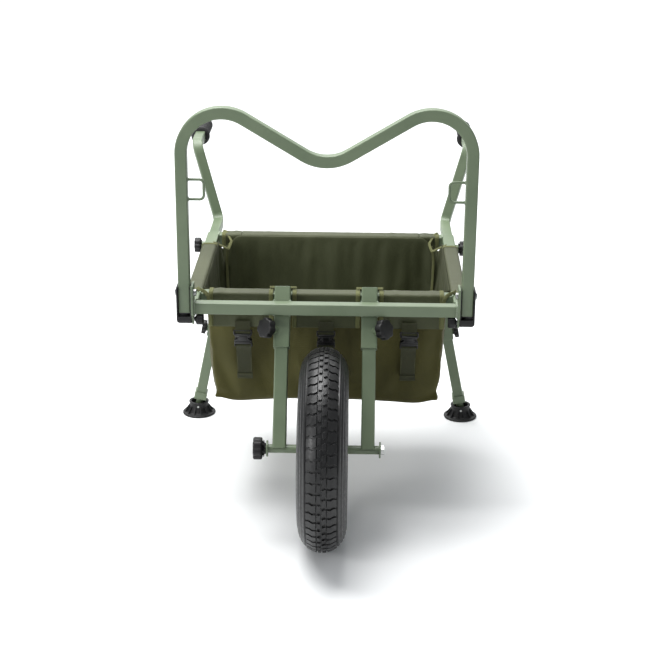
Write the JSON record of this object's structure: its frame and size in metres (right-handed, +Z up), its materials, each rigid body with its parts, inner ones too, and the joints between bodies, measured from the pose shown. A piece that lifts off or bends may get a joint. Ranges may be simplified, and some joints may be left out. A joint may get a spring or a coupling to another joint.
{
  "type": "game cart",
  "caption": "One-wheeled push cart: square tube frame with an open fabric bag, folding front hoop, sliding wheel fork, telescopic handles and splayed rear legs.",
  "frame": {"origin": "on the ground under the middle of the overall box", "axes": "+Z up, +Y from the wheel at the front to the grips at the rear, +X to the right seen from the wheel"},
  "size_m": [0.668, 1.102, 0.809],
  "materials": {
    "frame_paint": "satin sage green powder coat",
    "black_plastic": "fine moulded texture",
    "zinc_steel": "bright zinc plate",
    "tyre_rubber": "block tread",
    "inner_rubber": "smooth",
    "rim_paint": "satin black",
    "grip_rubber": "ribbed",
    "bag_fabric": "olive woven polyester, coated inside",
    "webbing": "ribbed webbing",
    "buckle_plastic": "moulded"
  },
  "bodies": {
    "frame": {"side_rail_left": "frame_paint", "side_rail_right": "frame_paint", "front_rail": "frame_paint", "rear_rail": "frame_paint", "front_crossbar": "frame_paint", "hinge_plates": "frame_paint", "hinge_channel_left": "black_plastic", "hinge_channel_right": "black_plastic", "hoop_pivot_bolts": "zinc_steel", "fork_sleeve_left": "frame_paint", "fork_sleeve_right": "frame_paint", "leg_sleeve_left": "frame_paint", "leg_sleeve_right": "frame_paint", "clamp_bosses": "frame_paint", "bag": "bag_fabric", "flap_straps": "webbing", "buckle_sockets": "buckle_plastic", "lower_strap_left": "webbing", "lower_strap_centre": "webbing", "lower_strap_right": "webbing"},
    "hoop": {"hoop_bar": "frame_paint", "hoop_end_plugs": "black_plastic", "cargo_loops": "frame_paint"},
    "fork": {"fork_leg_left": "frame_paint", "fork_leg_right": "frame_paint", "axle_bushes": "frame_paint", "axle_washers": "frame_paint", "axle_bolt": "zinc_steel"},
    "wheel": {"tyre": "tyre_rubber", "inner_tube": "inner_rubber", "tyre_valve": "black_plastic", "rim_half_left": "rim_paint", "rim_half_right": "rim_paint", "rim_bolts": "zinc_steel", "wheel_bearings": "zinc_steel", "bearing_spacer": "zinc_steel"},
    "axle_knob": {"axle_knob": "black_plastic"},
    "fork_knob_left": {"fork_knob_left": "black_plastic"},
    "handle_left": {"handle_tube_left": "frame_paint", "grip_left": "grip_rubber"},
    "handle_knob_left": {"handle_knob_left": "black_plastic"},
    "leg_left": {"leg_tube_left": "frame_paint", "foot_pin_left": "zinc_steel"},
    "foot_left": {"foot_left": "black_plastic"},
    "leg_knob_left": {"leg_knob_left": "black_plastic"},
    "hoop_lock_left": {"hoop_lock_knob_left": "black_plastic"},
    "fork_knob_right": {"fork_knob_right": "black_plastic"},
    "handle_right": {"handle_tube_right": "frame_paint", "grip_right": "grip_rubber"},
    "handle_knob_right": {"handle_knob_right": "black_plastic"},
    "leg_right": {"leg_tube_right": "frame_paint", "foot_pin_right": "zinc_steel"},
    "foot_right": {"foot_right": "black_plastic"},
    "leg_knob_right": {"leg_knob_right": "black_plastic"},
    "hoop_lock_right": {"hoop_lock_knob_right": "black_plastic"},
    "buckle_left": {"buckle_plug_left": "buckle_plastic"},
    "buckle_centre": {"buckle_plug_centre": "buckle_plastic"},
    "buckle_right": {"buckle_plug_right": "buckle_plastic"}
  },
  "joints": [
    {"name": "hoop_fold", "type": "hinge", "parent": "frame", "child": "hoop", "pos_m": [0, -0.256, 0.458], "axis": [-1, 0, 0], "range_deg": [0, 90]},
    {"name": "fork_slide", "type": "slide", "parent": "frame", "child": "fork", "axis": [0, -0.5, -0.866], "range_m": [0, 0.06]},
    {"name": "wheel_spin", "type": "hinge", "parent": "fork", "child": "wheel", "pos_m": [0, -0.361, 0.19], "axis": [1, 0, 0], "continuous": true},
    {"name": "axle_knob_turn", "type": "hinge", "parent": "fork", "child": "axle_knob", "pos_m": [-0.115, -0.361, 0.19], "axis": [-1, 0, 0], "range_deg": [0, 360]},
    {"name": "fork_knob_left_turn", "type": "hinge", "parent": "frame", "child": "fork_knob_left", "pos_m": [-0.10675, -0.27143, 0.39463], "axis": [-0.7071, -0.6124, 0.3536], "range_deg": [0, 360]},
    {"name": "handle_left_slide", "type": "slide", "parent": "frame", "child": "handle_left", "axis": [0, 1, 0], "range_m": [-0.075, 0.1]},
    {"name": "handle_knob_left_turn", "type": "hinge", "parent": "frame", "child": "handle_knob_left", "pos_m": [-0.28, 0.147, 0.428], "axis": [-1, 0, 0], "range_deg": [0, 360]},
    {"name": "leg_left_slide", "type": "slide", "parent": "frame", "child": "leg_left", "axis": [-0.2035, 0.0546, -0.9776], "range_m": [-0.1, 0.06]},
    {"name": "foot_left_swivel", "type": "hinge", "parent": "leg_left", "child": "foot_left", "pos_m": [-0.297, 0.246, 0.021], "axis": [0, 1, 0], "range_deg": [-12, 12]},
    {"name": "leg_knob_left_turn", "type": "hinge", "parent": "frame", "child": "leg_knob_left", "pos_m": [-0.27793, 0.2354, 0.2108], "axis": [-0.9791, -0.0113, 0.2031], "range_deg": [0, 360]},
    {"name": "hoop_lock_left_turn", "type": "hinge", "parent": "frame", "child": "hoop_lock_left", "pos_m": [-0.237, -0.256, 0.406], "axis": [1, 0, 0], "range_deg": [0, 360]},
    {"name": "fork_knob_right_turn", "type": "hinge", "parent": "frame", "child": "fork_knob_right", "pos_m": [0.10675, -0.27143, 0.39463], "axis": [0.7071, -0.6124, 0.3536], "range_deg": [0, 360]},
    {"name": "handle_right_slide", "type": "slide", "parent": "frame", "child": "handle_right", "axis": [0, 1, 0], "range_m": [-0.075, 0.1]},
    {"name": "handle_knob_right_turn", "type": "hinge", "parent": "frame", "child": "handle_knob_right", "pos_m": [0.28, 0.147, 0.428], "axis": [1, 0, 0], "range_deg": [0, 360]},
    {"name": "leg_right_slide", "type": "slide", "parent": "frame", "child": "leg_right", "axis": [0.2035, 0.0546, -0.9776], "range_m": [-0.1, 0.06]},
    {"name": "foot_right_swivel", "type": "hinge", "parent": "leg_right", "child": "foot_right", "pos_m": [0.297, 0.246, 0.021], "axis": [0, 1, 0], "range_deg": [-12, 12]},
    {"name": "leg_knob_right_turn", "type": "hinge", "parent": "frame", "child": "leg_knob_right", "pos_m": [0.27793, 0.2354, 0.2108], "axis": [0.9791, -0.0113, 0.2031], "range_deg": [0, 360]},
    {"name": "hoop_lock_right_turn", "type": "hinge", "parent": "frame", "child": "hoop_lock_right", "pos_m": [0.237, -0.256, 0.406], "axis": [-1, 0, 0], "range_deg": [0, 360]},
    {"name": "buckle_left_release", "type": "slide", "parent": "frame", "child": "buckle_left", "axis": [0, 0.3746, -0.9272], "range_m": [0, 0.02], "deforming": ["lower_strap_left"]},
    {"name": "buckle_centre_release", "type": "slide", "parent": "frame", "child": "buckle_centre", "axis": [0, 0.3746, -0.9272], "range_m": [0, 0.02], "deforming": ["lower_strap_centre"]},
    {"name": "buckle_right_release", "type": "slide", "parent": "frame", "child": "buckle_right", "axis": [0, 0.3746, -0.9272], "range_m": [0, 0.02], "deforming": ["lower_strap_right"]}
  ]
}
